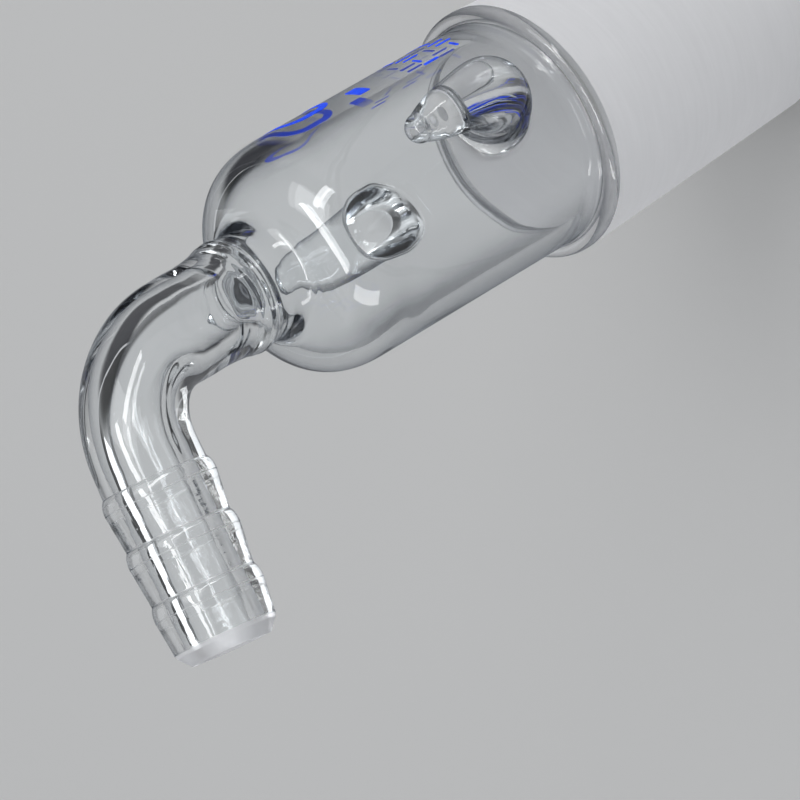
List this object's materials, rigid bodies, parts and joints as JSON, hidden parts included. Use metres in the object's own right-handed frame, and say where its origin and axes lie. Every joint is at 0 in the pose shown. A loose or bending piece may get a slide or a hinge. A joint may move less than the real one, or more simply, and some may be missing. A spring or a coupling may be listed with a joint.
{
  "type": "right-angle glass hose adapter",
  "caption": "Right-angle glass hose adapter: frosted male ground cone, clear round-ended body with solid glass spring hooks, and a bent thick-walled tube ending in a ridged hose barb.",
  "frame": {"origin": "centre of the ground cone's wide end, on the cone's axis", "axes": "+Z along the axis of the cone and body, from the cone up to the bent tube; +X is the side the hose barb leaves by; the two spring hooks are near +Y and -Y"},
  "size_m": [0.0378, 0.0397, 0.088],
  "materials": {
    "clear_glass": "fire-polished clear borosilicate glass",
    "ground_glass": "frosted, fine-ground borosilicate glass",
    "blue_enamel": "fired-on blue enamel print, slightly glossy"
  },
  "bodies": {
    "root": {"ground_cone": "ground_glass", "cone_shoulder": "clear_glass", "body_tube": "clear_glass", "end_dome": "clear_glass", "neck_weld": "clear_glass", "elbow_tube": "clear_glass", "hose_barb": "clear_glass", "spring_hook_front": "clear_glass", "spring_hook_back": "clear_glass", "enamel_frame_mark": "blue_enamel", "enamel_bar_marks": "blue_enamel"}
  },
  "joints": []
}
